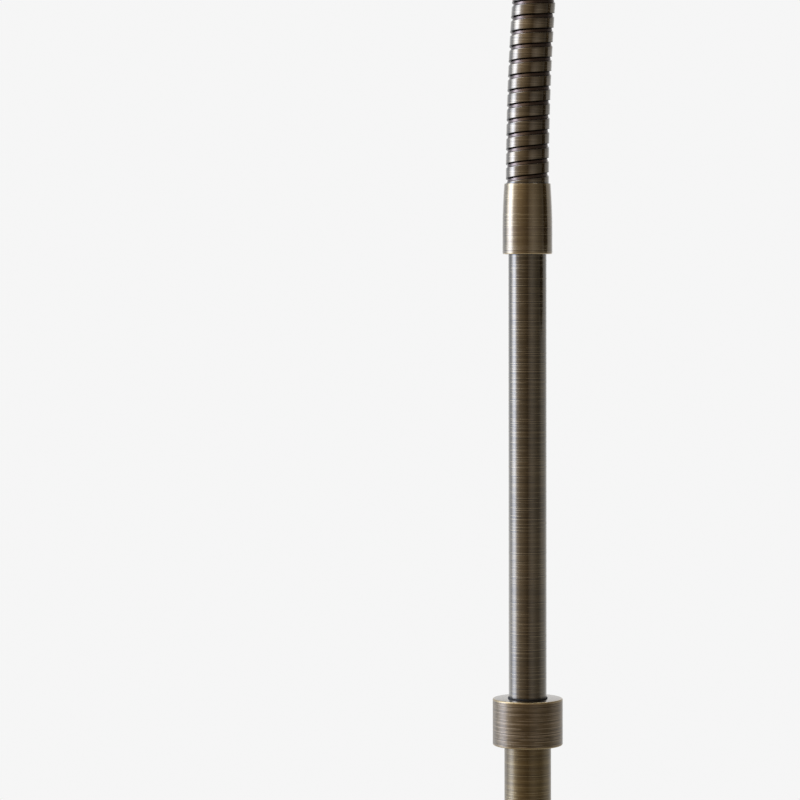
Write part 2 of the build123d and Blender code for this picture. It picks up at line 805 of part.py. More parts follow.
# Bulb cap: brass sleeve that stands for the screw cap, closed at the tip
with BuildPart() as bulb_cap:
    with BuildSketch(head.offset(bulb_seat)):
        Circle(bulb_cap_radius)
    extrude(amount=bulb_cap_length)
    with BuildSketch(head.offset(bulb_seat + bulb_cap_wall)):
        Circle(bulb_cap_radius - bulb_cap_wall)
    extrude(amount=bulb_cap_length, mode=Mode.SUBTRACT)
bulb_cap.part.label = "bulb_cap"
export_step(bulb_cap.part, "parts/bulb_cap.step")


# Bulb glass: pear-shaped hollow bulb, seated in the mouth of the cap
glass_start = bulb_seat + bulb_cap_length - bulb_insertion
globe_centre = glass_start + bulb_glass_length - bulb_radius
neck_top = glass_start + 2 * bulb_insertion
with BuildPart() as bulb_glass:
    for wall, mode in ((0, Mode.ADD), (bulb_glass_wall, Mode.SUBTRACT)):
        globe_radius = bulb_radius - wall
        globe_top = globe_centre + globe_radius
        with BuildSketch(head_section):
            with BuildLine():
                Polyline(
                    (0, globe_top),
                    (0, glass_start),
                    (bulb_neck_radius - wall, glass_start),
                    (bulb_neck_radius - wall, neck_top),
                )
                Spline(
                    (bulb_neck_radius - wall, neck_top),
                    (globe_radius, globe_centre),
                    tangents=[(0, 1), (0, 1)],
                )
                ThreePointArc(
                    (globe_radius, globe_centre),
                    (globe_radius / sqrt(2), globe_centre + globe_radius / sqrt(2)),
                    (0, globe_top),
                )
            make_face()
        revolve(axis=head_axis, mode=mode)
bulb_glass.part.label = "bulb_glass"
export_step(bulb_glass.part, "parts/bulb_glass.step")
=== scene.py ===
import json
import math

import bpy
from mathutils import Matrix, Vector


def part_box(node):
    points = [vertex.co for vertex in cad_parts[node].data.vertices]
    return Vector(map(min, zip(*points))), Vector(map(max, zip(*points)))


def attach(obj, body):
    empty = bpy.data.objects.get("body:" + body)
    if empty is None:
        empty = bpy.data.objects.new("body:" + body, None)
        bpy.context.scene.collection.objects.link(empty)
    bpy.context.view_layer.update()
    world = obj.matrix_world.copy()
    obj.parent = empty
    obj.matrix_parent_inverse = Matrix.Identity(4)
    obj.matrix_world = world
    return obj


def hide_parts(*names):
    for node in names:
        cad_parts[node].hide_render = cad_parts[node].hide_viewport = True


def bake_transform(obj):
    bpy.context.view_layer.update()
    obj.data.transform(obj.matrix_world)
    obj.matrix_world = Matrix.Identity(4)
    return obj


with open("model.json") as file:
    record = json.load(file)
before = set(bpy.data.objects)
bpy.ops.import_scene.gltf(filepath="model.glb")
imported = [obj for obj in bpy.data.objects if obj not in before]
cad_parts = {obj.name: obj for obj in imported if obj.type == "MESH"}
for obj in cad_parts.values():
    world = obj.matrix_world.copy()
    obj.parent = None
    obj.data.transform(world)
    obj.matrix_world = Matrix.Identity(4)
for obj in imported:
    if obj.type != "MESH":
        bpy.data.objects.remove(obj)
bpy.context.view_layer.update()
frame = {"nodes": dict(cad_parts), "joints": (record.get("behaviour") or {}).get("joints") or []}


# Felt pad: a punched disc of dense wool felt under the bottom plate. It is glued on,
# and its pressed fibres show as fine hairs in two dark greys.
mm = 0.001


class Flow:
    """A value that flows through a material's nodes. Arithmetic on it adds Math nodes."""

    def __init__(self, tree, socket=None):
        self.tree = tree
        self.socket = socket

    def feed(self, node, sockets):
        for key, value in sockets.items():
            if isinstance(value, Flow):
                self.tree.links.new(value.socket, node.inputs[key])
            else:
                node.inputs[key].default_value = value

    def node(self, kind, settings, sockets, output=0):
        """Adds a node: its settings first, then a value or a link for each socket."""
        added = self.tree.nodes.new(kind)
        for name, value in settings.items():
            if name == "stops":
                ramp = added.color_ramp.elements
                while len(ramp) < len(value):
                    ramp.new(1)
                for stop, (position, colour) in zip(ramp, value):
                    stop.position = position
                    stop.color = colour
            else:
                setattr(added, name, value)
        self.feed(added, sockets)
        return Flow(self.tree, added.outputs[output])

    def math(self, operation, *values):
        return self.node("ShaderNodeMath", {"operation": operation}, dict(enumerate(values)))

    def __add__(self, other):
        return self.math("ADD", self, other)

    def __radd__(self, other):
        return self.math("ADD", other, self)

    def __sub__(self, other):
        return self.math("SUBTRACT", self, other)

    def __rsub__(self, other):
        return self.math("SUBTRACT", other, self)

    def __mul__(self, other):
        return self.math("MULTIPLY", self, other)

    def __rmul__(self, other):
        return self.math("MULTIPLY", other, self)

    def __pow__(self, power):
        return self.math("POWER", self, power)


def noise(place, scale, detail=2.0, roughness=0.5):
    sockets = {"Vector": place, "Scale": scale, "Detail": detail, "Roughness": roughness}
    return place.node("ShaderNodeTexNoise", {}, sockets)


def ease(value, start, end):
    """Rises smoothly from 0 at start to 1 at end."""
    sockets = {"Value": value, "From Min": start, "From Max": end}
    return value.node("ShaderNodeMapRange", {"interpolation_type": "SMOOTHSTEP"}, sockets)


def mix(factor, first, second):
    return factor.node("ShaderNodeMix", {"data_type": "RGBA"}, {0: factor, 6: first, 7: second}, 2)


def bump(height, depth, strength=1.0):
    sockets = {"Height": height, "Distance": depth, "Strength": strength}
    return height.node("ShaderNodeBump", {}, sockets)


def start_finish(name):
    """A new material, and the coordinates that its patterns read."""
    material = bpy.data.materials.new(name)
    material.use_nodes = True
    return material, Flow(material.node_tree).node("ShaderNodeTexCoord", {}, {}, "Object")


def end_finish(material, sockets):
    shader = material.node_tree.nodes["Principled BSDF"]
    Flow(material.node_tree).feed(shader, sockets)
    return material


def dress(material, *names):
    for name in names:
        frame["nodes"][name].material_slots[0].material = material


felt_grey = (0.030, 0.028, 0.026, 1)
felt_hair = (0.085, 0.080, 0.074, 1)
felt, place = start_finish("wool_felt")
hairs = noise(place, 1800, 6, 0.8)
tufts = noise(place, 120, 3)
end_finish(
    felt,
    {
        "Base Color": mix(ease(hairs + tufts * 0.5, 0.6, 1.0), felt_grey, felt_hair),
        "Roughness": 0.9 + hairs * 0.1,
        "Normal": bump(hairs + tufts, 0.3 * mm),
        "Sheen Weight": 0.3,
    },
)
dress(felt, "base_felt")


# Bottom plate, its screws, and the washer and nut under the stem: pressed steel, zinc
# plated. The plate closes the underside, and the nut pulls the stem down on the base.
# The small steel pieces inside the stem and the head are plated in the same way.
zinc_pale = (0.62, 0.64, 0.66, 1)
zinc_dark = (0.40, 0.42, 0.45, 1)
zinc, place = start_finish("zinc_plated_steel")
spangle = place.node("ShaderNodeTexVoronoi", {}, {"Vector": place, "Scale": 700}, "Color")
grain = noise(place, 2500, 3)
cloud = noise(place, 90, 4)
flakes = spangle.node("ShaderNodeSeparateColor", {}, {0: spangle})
end_finish(
    zinc,
    {
        "Base Color": mix(cloud * 0.6 + flakes * 0.4, zinc_dark, zinc_pale),
        "Metallic": 1.0,
        "Roughness": 0.26 + grain * 0.16 + flakes * 0.08,
        "Normal": bump(grain, 0.02 * mm, 0.4),
    },
)
dress(zinc, "base_plate", "base_screws", "stem_washer", "stem_nut", "stem_nipple")
dress(zinc, "glide_clip", "neck_nut", "terminal_screws")


# Ballast: a disc of grey cast iron that keeps the lamp upright. It is left as cast,
# with a coarse sand skin, and drilled for the screws, the nipple and the cable.
iron_dark = (0.045, 0.043, 0.042, 1)
iron_rust = (0.110, 0.075, 0.055, 1)
iron, place = start_finish("cast_iron")
sand = noise(place, 900, 5, 0.7)
rust = noise(place, 60, 5, 0.65)
end_finish(
    iron,
    {
        "Base Color": mix(ease(rust, 0.5, 0.75), iron_dark, iron_rust),
        "Metallic": 0.4,
        "Roughness": 0.6 + sand * 0.3,
        "Normal": bump(sand, 0.25 * mm),
    },
)
dress(iron, "base_ballast")


# Brass pieces inside the stem and the lamp holder: turned plugs, the contact shell and
# the bulb's cap. They are left bare, with fine tool marks and a little tarnish.
brass_bright = (0.80, 0.58, 0.28, 1)
brass_dull = (0.50, 0.34, 0.15, 1)
brass, place = start_finish("bare_brass")
tarnish = noise(place, 110, 4, 0.6)
tool_marks = noise(place, 1500, 2)
end_finish(
    brass,
    {
        "Base Color": mix(ease(tarnish, 0.35, 0.7), brass_bright, brass_dull),
        "Metallic": 1.0,
        "Roughness": 0.20 + tarnish * 0.18 + tool_marks * 0.06,
        "Normal": bump(tool_marks, 0.01 * mm, 0.5),
    },
)
dress(brass, "foot_plug", "upper_tube_plug")
dress(brass, "contact_shell", "contact_centre", "bulb_cap", "bulb_tip")


# Base cover: a spun brass shell over the ballast, drawn down to a soft edge. It is
# brushed on the lathe, bronzed dark and lacquered, and its rim clears the floor.
def brushed_bronze(
    name, dark, warm, roughness, brush, lacquer, worn=(), joints=(), faced=None, recess=0,
    turning=None, attribute=None, winding=None, painted_light_span=None, edge_tint=(1, 1, 1, 1),
):
    """Bronzed brass with brush lines round an axis: the stem's, or that of the frame turning.

    worn lists the radius and height of the edges where the brass shows through, and joints the
    heights of thin dark lines of painted shade where one part meets the next. Above the height
    faced, an end was cut smooth, and inside the radius recess no brush has reached; painted shade
    darkens the shoulder round it. winding gives the start and the pitch of a wound band, whose
    lower edge is painted dark as shade. Between the two heights given for painted light, the bronze
    is painted lighter and more golden upwards.
    edge_tint dims what the metal mirrors at a low angle."""
    painted_shade = (0.010, 0.008, 0.006, 1)
    painted_light_gold = (0.26, 0.19, 0.085, 1)
    rubbed_brass = (0.42, 0.31, 0.15, 1)
    unbrushed = (0.100, 0.076, 0.066, 1)
    unbrushed_roughness = 0.27
    cut_roughness = 0.20
    cut_lacquer = 0.4
    material, place = start_finish(name)
    if turning:
        back = turning.inverted()
        sockets = {"Vector": place, "Location": back.to_translation(), "Rotation": back.to_euler()}
        place = place.node("ShaderNodeMapping", {}, sockets)
    if attribute:
        place = place.node("ShaderNodeAttribute", {"attribute_name": attribute}, {}, "Vector")
    x, y, z = (place.node("ShaderNodeSeparateXYZ", {}, {0: place}, axis) for axis in range(3))
    radius = (x * x + y * y) ** 0.5

    def rings(per_metre):
        sockets = {"W": (z + radius) * per_metre, "Scale": 1.0, "Detail": 1.0}
        return place.node("ShaderNodeTexNoise", {"noise_dimensions": "1D"}, sockets)

    def streaks(per_metre, stretch):
        around = per_metre / stretch
        sockets = {0: x * around, 1: y * around, 2: z * per_metre}
        along = place.node("ShaderNodeCombineXYZ", {}, sockets)
        sockets = {"Vector": along, "W": radius * per_metre, "Scale": 1.0, "Detail": 1.0}
        return place.node("ShaderNodeTexNoise", {"noise_dimensions": "4D"}, sockets)

    bands = rings(450)
    patina = streaks(60, 2)
    lines = (rings(2600) - 0.5) * ease(streaks(1700, 10), 0.34, 0.58)
    tone = ease(patina * 0.6 + bands * 0.4, 0.32, 0.70)
    colour = mix(tone, dark, warm)
    pale = (2.3 * warm[0], 2.6 * warm[1], 3.5 * warm[2], 1)
    deep = (0.34 * dark[0], 0.31 * dark[1], 0.28 * dark[2], 1)
    scratches = ease(lines, 0.01, 0.16) * brush
    colour = mix(scratches, colour, pale)
    colour = mix(ease(lines, -0.01, -0.16) * brush, colour, deep)
    # Painted light: lighter and more golden towards the top.
    if painted_light_span:
        colour = mix(ease(z, *painted_light_span) * 0.3, colour, painted_light_gold)
    for edge_radius, edge_height in worn:
        away = ((radius - edge_radius) ** 2 + (z - edge_height) ** 2) ** 0.5
        rubbed = (1 - ease(away, 0.25 * mm, 0.7 * mm)) * ease(bands + patina * 0.5, 0.30, 0.85)
        colour = mix(rubbed * 0.65, colour, rubbed_brass)
    # Painted shade: a thin dark line at each of these heights, where one part meets the next.
    for height in joints:
        joint_shade = 1 - ease((z - height).math("ABSOLUTE", z - height), 0.15 * mm, 0.6 * mm)
        colour = mix(joint_shade * 0.85, colour, painted_shade)
    brushed = ease(radius, recess, recess + 0.25 * mm)
    colour = mix(brushed, unbrushed, colour)
    # Painted shade on the shoulder between the brushed face and the recess.
    colour = mix(brushed * (1 - brushed) * 2.8, colour, painted_shade)
    dulled = roughness + scratches * 0.22
    sheen = unbrushed_roughness + brushed * (dulled - unbrushed_roughness)
    coat = brushed * (1 - scratches * 0.6) * lacquer
    # Painted shade: the lower edge of each wound band is painted dark.
    if winding:
        start, pitch = winding
        climb = (z - start) * (1 / pitch) - y.math("ARCTAN2", y, x) * (0.5 / math.pi) + 0.5
        off_edge = climb.math("FRACT", climb) - 0.5
        edge = 1 - ease(off_edge.math("ABSOLUTE", off_edge), 0.025, 0.065)
        colour = mix(edge * 0.95, colour, painted_shade)
        coat = coat * (1 - edge)
    if faced:
        cut = ease(z, faced - 0.1 * mm, faced - 0.02 * mm)
        sheen = sheen + cut * (cut_roughness - sheen)
        coat = coat + cut * (cut_lacquer - coat)
    return end_finish(
        material,
        {
            "Base Color": colour,
            "Metallic": 1.0,
            "Roughness": sheen,
            "Normal": bump(lines, 0.02 * mm, 0.3),
            "Coat Weight": coat,
            "Coat Roughness": 0.10,
            "Coat IOR": 1.6,
            "Specular Tint": edge_tint,
        },
    )


def drawn(name, outline, lift=0):
    """A line along an outline of radius and height, raised by lift and left in edit mode."""
    bpy.ops.object.select_all(action="DESELECT")
    bpy.ops.mesh.primitive_plane_add(size=1)
    piece = bpy.context.object
    piece.name = name
    bpy.ops.object.mode_set(mode="EDIT")
    bpy.ops.mesh.merge(type="CENTER")
    points = [Vector((radius, 0, height)) for radius, height in outline]
    bpy.ops.transform.translate(value=points[0] + Vector((0, 0, lift)))
    for here, there in zip(points, points[1:]):
        bpy.ops.mesh.extrude_region_move(TRANSFORM_OT_translate={"value": there - here})
    return piece


def turned(name, outline, steps=128):
    """A piece turned on a lathe: its outline of radius and height, spun round the Z axis."""
    piece = drawn(name, outline)
    bpy.ops.mesh.select_all(action="SELECT")
    bpy.ops.mesh.spin(steps=steps, angle=2 * math.pi, center=(0, 0, 0), axis=(0, 0, 1))
    bpy.ops.mesh.select_all(action="SELECT")
    bpy.ops.mesh.remove_doubles(threshold=0.002 * mm)
    bpy.ops.mesh.normals_make_consistent(inside=False)
    bpy.ops.object.mode_set(mode="OBJECT")
    return piece


def arc(centre, radius, start, end, count):
    """Points on an arc of an outline, with its angles in degrees from outwards to upwards."""
    angles = [math.radians(start + (end - start) * step / count) for step in range(count + 1)]
    return [(centre[0] + radius * math.cos(a), centre[1] + radius * math.sin(a)) for a in angles]


def pick(piece):
    """Selects one piece alone, for the operators that follow."""
    bpy.ops.object.select_all(action="DESELECT")
    piece.select_set(True)
    bpy.context.view_layer.objects.active = piece


def apply_modifier(piece, kind, **settings):
    pick(piece)
    modifier = piece.modifiers.new(kind.lower(), kind)
    for name, value in settings.items():
        setattr(modifier, name, value)
    bpy.ops.object.modifier_apply(modifier=modifier.name)


def complete(piece, material, body, slot, *nodes, sharp=30):
    """Smooths a piece up to the angle sharp, gives it its finish and hangs it on its body."""
    pick(piece)
    bpy.ops.object.shade_smooth_by_angle(angle=math.radians(sharp))
    if material:
        piece.data.materials.append(material)
    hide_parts(*nodes)
    if body:
        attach(piece, body)


cover_low, cover_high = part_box("base_cover")
cover_radius = cover_high.x
cover_edge = 6 * mm
cover_wall = 1.5 * mm
nipple_hole = 5.05 * mm
edge_centre = (cover_radius - cover_edge, cover_high.z - cover_edge)
cover_outline = [(nipple_hole, cover_high.z), (cover_radius / 2, cover_high.z)]
cover_outline += arc(edge_centre, cover_edge, 90, 0, 16)
cover_outline += [(cover_radius, cover_low.z)]
base_cover = turned("base_cover_spun", cover_outline, steps=256)
apply_modifier(base_cover, "SOLIDIFY", thickness=cover_wall, offset=-1, use_even_offset=True)
apply_modifier(
    base_cover, "BEVEL", width=0.25 * mm, segments=2, limit_method="ANGLE", angle_limit=1.0
)
cover_bronze = brushed_bronze(
    "bronze_spun_cover",
    (0.070, 0.051, 0.027, 1),
    (0.120, 0.086, 0.045, 1),
    roughness=0.46,
    brush=0.5,
    lacquer=0.15,
    edge_tint=(0.26, 0.24, 0.21, 1),
)
complete(base_cover, cover_bronze, "stand", "bronzed_brass", "base_cover")


# Cable gland: a flanged bush moulded in black plastic, pressed through the back of the
# cover so that the edge of the metal can't cut a cable. The pieces of the lamp holder are
# moulded in the same plastic.
gland_black = (0.011, 0.009, 0.008, 1)
gland_worn = (0.023, 0.021, 0.019, 1)
plastic, place = start_finish("black_plastic")
spark_grain = noise(place, 1600, 4, 0.6)
handling = noise(place, 45, 3)
end_finish(
    plastic,
    {
        "Base Color": mix(ease(handling, 0.45, 0.75), gland_black, gland_worn),
        "Roughness": 0.50 + spark_grain * 0.20,
        "Normal": bump(spark_grain, 0.03 * mm, 0.6),
        "Specular IOR Level": 0.2,
    },
)
dress(plastic, "cable_gland", "holder_cap", "holder_body", "holder_skirt", "shade_ring")


# Lower tube: drawn brass tube that stands on the cover, brushed round and bronzed.
# The nipple holds its foot, and the collar closes its top.
tube_low, tube_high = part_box("lower_tube")
collar_low, collar_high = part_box("clamp_collar")
tube_radius = tube_high.x
tube_wall = 1 * mm


def tube_section(outer, low, high):
    """The outline of a tube's wall, with square ends."""
    inner = outer - tube_wall
    return [(inner, low), (outer, low), (outer, high), (inner, high), (inner, low)]


lower_tube = turned("lower_tube_drawn", tube_section(tube_radius, tube_low.z, tube_high.z))
lower_bronze = brushed_bronze(
    "bronze_lower_tube",
    (0.064, 0.044, 0.018, 1),
    (0.118, 0.083, 0.034, 1),
    roughness=0.33,
    brush=0.40,
    lacquer=0.35,
    # A thin line of painted shade on the tube just under the collar.
    joints=[collar_low.z],
)
complete(lower_tube, lower_bronze, "stand", "bronzed_brass", "lower_tube")


# Collar: a turned brass ring on the end of the lower tube, which guides the upper tube.
# Its two edges are broken and rubbed thin, and its top reaches in over the bush.
collar_radius = collar_high.x
collar_edge = 0.4 * mm
collar_bore = 7.13 * mm
collar_mouth = 6.84 * mm
collar_lip = 0.12 * mm
collar_socket = 8.05 * mm
collar_shelf = tube_high.z
collar_outline = [
    (collar_mouth, collar_high.z),
    *arc((collar_radius - collar_edge, collar_high.z - collar_edge), collar_edge, 90, 0, 6),
    *arc((collar_radius - collar_edge, collar_low.z + collar_edge), collar_edge, 0, -90, 6),
    (collar_socket, collar_low.z),
    (collar_socket, collar_shelf),
    (collar_bore, collar_shelf),
    (collar_bore, collar_high.z - collar_lip),
    (collar_mouth, collar_high.z - collar_lip),
    (collar_mouth, collar_high.z),
]
clamp_collar = turned("clamp_collar_turned", collar_outline)
collar_bronze = brushed_bronze(
    "bronze_collar",
    (0.074, 0.051, 0.025, 1),
    (0.130, 0.090, 0.045, 1),
    roughness=0.38,
    brush=0.65,
    lacquer=0.40,
    worn=[(collar_radius, collar_high.z), (collar_radius, collar_low.z)],
    faced=collar_high.z,
)
complete(clamp_collar, collar_bronze, "stand", "bronzed_brass", "clamp_collar", sharp=20)


# Collar bush: a thin black sleeve that stops the upper tube from rattling in the collar.
# It sits on the end of the lower tube, and its rounded lip stands just above the collar.
bush_low, bush_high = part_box("collar_bush")
bush_radius = bush_high.x
bush_bore = 6.58 * mm
bush_neck_radius = 6.78 * mm
bush_neck_height = 0.25 * mm
bush_round = 0.15 * mm
bush_lip = 0.45 * mm
bush_top = collar_high.z + bush_lip
bush_outline = [
    (bush_bore, bush_low.z),
    (bush_radius, bush_low.z),
    (bush_radius, collar_high.z - bush_neck_height),
    (bush_neck_radius, collar_high.z - bush_neck_height),
    *arc((bush_neck_radius - bush_round, bush_top - bush_round), bush_round, 0, 90, 5),
    (bush_bore, bush_top),
    (bush_bore, bush_low.z),
]
collar_bush = turned("collar_bush_moulded", bush_outline)
complete(collar_bush, plastic, "stand", "black_plastic", "collar_bush")


# Clamp: a screw in a grooved brass thumb wheel on the back of the collar, both bronzed,
# which presses a nylon pad on the upper tube. The glide bush in the stem is nylon too.
nylon_white = (0.74, 0.73, 0.69, 1)
nylon_warm = (0.66, 0.63, 0.56, 1)
nylon, place = start_finish("white_nylon")
melt = noise(place, 160, 4)
skin = noise(place, 2200, 2)
end_finish(
    nylon,
    {
        "Base Color": mix(melt, nylon_white, nylon_warm),
        "Roughness": 0.42 + skin * 0.15,
        "Normal": bump(skin, 0.01 * mm, 0.5),
    },
)
dress(nylon, "clamp_pad", "glide_bush")
knob_low, knob_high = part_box("clamp_knob")
knob_frame = Matrix.Translation((0, knob_low.y, (knob_low.z + knob_high.z) / 2))
knob_frame = knob_frame @ Matrix.Rotation(math.radians(-90), 4, "X")
knob_bronze = brushed_bronze(
    "bronze_knob",
    (0.076, 0.054, 0.028, 1),
    (0.140, 0.100, 0.052, 1),
    roughness=0.34,
    brush=0.6,
    lacquer=0.4,
    turning=knob_frame,
)
dress(knob_bronze, "clamp_knob", "clamp_screw")


# Upper tube: the thinner drawn tube that slides and turns in the collar. It is brushed
# finer than the lower one, so that its highlight is narrow and bright.
slide_low, slide_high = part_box("upper_tube")
ferrule_low, ferrule_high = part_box("neck_ferrule")
slide_radius = slide_high.x
upper_tube = turned("upper_tube_drawn", tube_section(slide_radius, slide_low.z, slide_high.z))
upper_bronze = brushed_bronze(
    "bronze_upper_tube",
    (0.045, 0.033, 0.016, 1),
    (0.076, 0.056, 0.028, 1),
    roughness=0.18,
    brush=0.8,
    lacquer=0.80,
    # A thin line of painted shade on the tube just under the ferrule.
    joints=[ferrule_low.z],
)
complete(upper_tube, upper_bronze, "upper_stem", "bronzed_brass", "upper_tube")


# Ferrule: a turned brass sleeve that joins the upper tube to the neck, straight at its
# foot and drawn in on a long arc. Its foot is rubbed bright, and painted light makes the
# bronze lighter and more golden towards its lip.
ferrule_radius = ferrule_high.x
ferrule_top_radius = 7.9 * mm
ferrule_straight = 7.5 * mm
ferrule_edge = 0.4 * mm
ferrule_lip = 0.06 * mm
ferrule_mouth = 7.45 * mm
ferrule_mouth_depth = 6 * mm
# The lowest part of the sleeve, which the painted light leaves out.
ferrule_unlit_foot = 4 * mm
arc_height = ferrule_high.z - ferrule_lip - ferrule_low.z - ferrule_straight
arc_inset = ferrule_radius - ferrule_top_radius
ferrule_bend = (arc_height**2 + arc_inset**2) / (2 * arc_inset)
bend_centre = (ferrule_radius - ferrule_bend, ferrule_low.z + ferrule_straight)
bend_angle = math.degrees(math.asin(arc_height / ferrule_bend))
ferrule_outline = [
    (slide_radius, ferrule_low.z),
    *arc((ferrule_radius - ferrule_edge, ferrule_low.z + ferrule_edge), ferrule_edge, -90, 0, 6),
]
ferrule_outline += arc(bend_centre, ferrule_bend, 0, bend_angle, 16)
ferrule_outline += [
    (ferrule_top_radius - ferrule_lip, ferrule_high.z),
    (ferrule_mouth, ferrule_high.z),
    (ferrule_mouth, ferrule_high.z - ferrule_mouth_depth),
    (slide_radius, ferrule_high.z - ferrule_mouth_depth),
    (slide_radius, ferrule_low.z),
]
neck_ferrule = turned("neck_ferrule_turned", ferrule_outline)
ferrule_bronze = brushed_bronze(
    "bronze_ferrule",
    (0.100, 0.070, 0.036, 1),
    (0.131, 0.098, 0.049, 1),
    roughness=0.19,
    brush=0.55,
    lacquer=0.80,
    worn=[(ferrule_radius, ferrule_low.z)],
    # Painted light: lighter and more golden from just above the foot up to the lip.
    painted_light_span=(ferrule_low.z + ferrule_unlit_foot, ferrule_high.z),
)
complete(neck_ferrule, ferrule_bronze, "upper_stem", "bronzed_brass", "neck_ferrule", sharp=20)


# Neck: a steel strip wound into a right-handed tube that bends and stays, then bronzed.
# Each turn is a flat band with a sharp lower edge over a shadow gap and a round shoulder.
# The edge and the foot of the shoulder are painted dark as shade.
bends = [joint for joint in frame["joints"] if joint["name"].startswith("neck_")]
length_step = 30 * mm
knots = [Vector((0, 0, ferrule_high.z))] + [Vector(joint["pos_m"]) for joint in bends]
headings = [0.0]
for here, there in zip(knots, knots[1:]):
    chord = math.atan2(there.x - here.x, there.z - here.z)
    headings.append(2 * chord - headings[-1])
headings.append(2 * headings[-1] - headings[-2])


def neck_point(along):
    """A point of the neck's centre line, that far from the top of the ferrule."""
    step = min(int(along / length_step), len(knots) - 1)
    share = along / length_step - step
    half_turn = (headings[step + 1] - headings[step]) * share / 2
    reach = share * length_step * math.sin(half_turn) / half_turn if share else 0
    direction = headings[step] + half_turn
    return knots[step] + reach * Vector((math.sin(direction), 0, math.cos(direction)))


neck_end = len(knots) * length_step
knots.append(neck_point(neck_end))
bpy.ops.object.select_all(action="DESELECT")
bpy.ops.curve.primitive_bezier_curve_add()
centre_line = bpy.context.object
centre_line.name = "neck_centre_line"
centre_line.data.resolution_u = 24
spline = centre_line.data.splines[0]
spline.bezier_points.add(len(knots) - len(spline.bezier_points))
for number, (point, knot, heading) in enumerate(zip(spline.bezier_points, knots, headings)):
    before = heading - headings[max(number - 1, 0)]
    after = headings[min(number + 1, len(knots) - 1)] - heading
    direction = Vector((math.sin(heading), 0, math.cos(heading)))
    reach_before = length_step / 3 * (1 + before**2 / 48)
    reach_after = length_step / 3 * (1 + after**2 / 48)
    point.handle_left_type = point.handle_right_type = "FREE"
    point.co = knot
    point.handle_left = knot - reach_before * direction
    point.handle_right = knot + reach_after * direction

band_pitch = 4.93 * mm
band_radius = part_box("neck_segment_02")[1].y
band_height = 3.65 * mm
band_lip = 0.06 * mm
band_facets = 56
shoulder = 0.3 * mm
shoulder_foot_height = 0.12 * mm
recess_depth = 0.42 * mm
recess_lean = 0.18 * mm
brushed_depth = 0.30 * mm
gap_depth = 1.0 * mm
gap_height = 0.28 * mm
band_start = 1.55 * mm
recess_radius = band_radius - recess_depth
gap_radius = band_radius - gap_depth
band_outline = [(gap_radius, 0), (band_radius - band_lip, 0), (band_radius, band_lip)]
band_outline += arc((band_radius - shoulder, band_height - shoulder), shoulder, 0, 75, 5)
band_outline += [
    (recess_radius, band_height + shoulder_foot_height),
    (recess_radius - recess_lean, band_pitch - gap_height),
    (gap_radius, band_pitch),
]


def neck_length_piece(name, start, end):
    """One length of the wound strip: wound straight, cut square at its ends, then bent."""
    turns = math.ceil((end - start) / band_pitch) + 3
    first_turn = math.floor((start - band_start) / band_pitch) - 1
    piece = drawn(name, band_outline, lift=band_start + first_turn * band_pitch)
    bpy.ops.object.mode_set(mode="OBJECT")
    apply_modifier(
        piece,
        "SCREW",
        axis="Z",
        screw_offset=band_pitch,
        iterations=turns,
        steps=band_facets,
        render_steps=band_facets,
    )
    bpy.ops.object.mode_set(mode="EDIT")
    bpy.ops.mesh.select_all(action="SELECT")
    bpy.ops.mesh.remove_doubles(threshold=0.004 * mm)
    bpy.ops.mesh.normals_make_consistent(inside=False)
    for height, side in ((start, -1), (end, 1)):
        bpy.ops.mesh.select_all(action="SELECT")
        bpy.ops.mesh.bisect(
            plane_co=(0, 0, height), plane_no=(0, 0, side), use_fill=True, clear_outer=True
        )
    bpy.ops.mesh.select_all(action="SELECT")
    bpy.ops.mesh.normals_make_consistent(inside=False)
    bpy.ops.object.mode_set(mode="OBJECT")
    places = [part for vertex in piece.data.vertices for part in vertex.co]
    straight = piece.data.attributes.new("straight", "FLOAT_VECTOR", "POINT")
    straight.data.foreach_set("vector", places)
    apply_modifier(piece, "CURVE", object=centre_line, deform_axis="POS_Z")
    return piece


neck_bronze = brushed_bronze(
    "bronze_neck",
    (0.064, 0.047, 0.025, 1),
    (0.112, 0.083, 0.045, 1),
    roughness=0.20,
    brush=0.42,
    lacquer=0.85,
    # A thin line of painted shade at the neck's foot, on the ferrule's lip.
    joints=[0],
    # Painted shade on the shoulder round the unbrushed recess.
    recess=band_radius - brushed_depth,
    attribute="straight",
    # Painted shade along the lower edge of each band.
    winding=(band_start, band_pitch),
)
neck_in_ferrule = 5 * mm
neck_in_cup = 10 * mm
for number, joint in enumerate(bends, 1):
    start = (number - 0.5) * length_step
    end = (number + 0.5) * length_step
    first = number == 1
    last = number == len(bends)
    piece = neck_length_piece(
        f"neck_strip_{number:02d}",
        -neck_in_ferrule if first else start,
        neck_end + neck_in_cup if last else end,
    )
    nodes = [f"neck_segment_{number:02d}"] + ([f"neck_segment_{number + 1:02d}"] if last else [])
    complete(piece, neck_bronze, None, "bronzed_steel", *nodes, sharp=35)
    neck_point(start)
    neck_point(end)
    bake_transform(piece)
bpy.data.objects.remove(centre_line)


# Socket cup: a spun brass cup on the end of the neck, which hides the lamp holder.
# The neck's threaded tip and a nut hold it, and the shade closes its mouth.
head_heading = headings[-1]
head_axis = Vector((math.sin(head_heading), 0, math.cos(head_heading)))
head_outward = Vector((-math.cos(head_heading), 0, math.sin(head_heading)))
head = Matrix((head_outward, head_axis.cross(head_outward), head_axis)).transposed().to_4x4()
head.translation = knots[-1]


def place_on_head(piece):
    """Moves a piece that was turned round the Z axis to the head's own axis."""
    pick(piece)
    piece.matrix_world = head
    bpy.ops.object.transform_apply(location=True, rotation=True, scale=True)


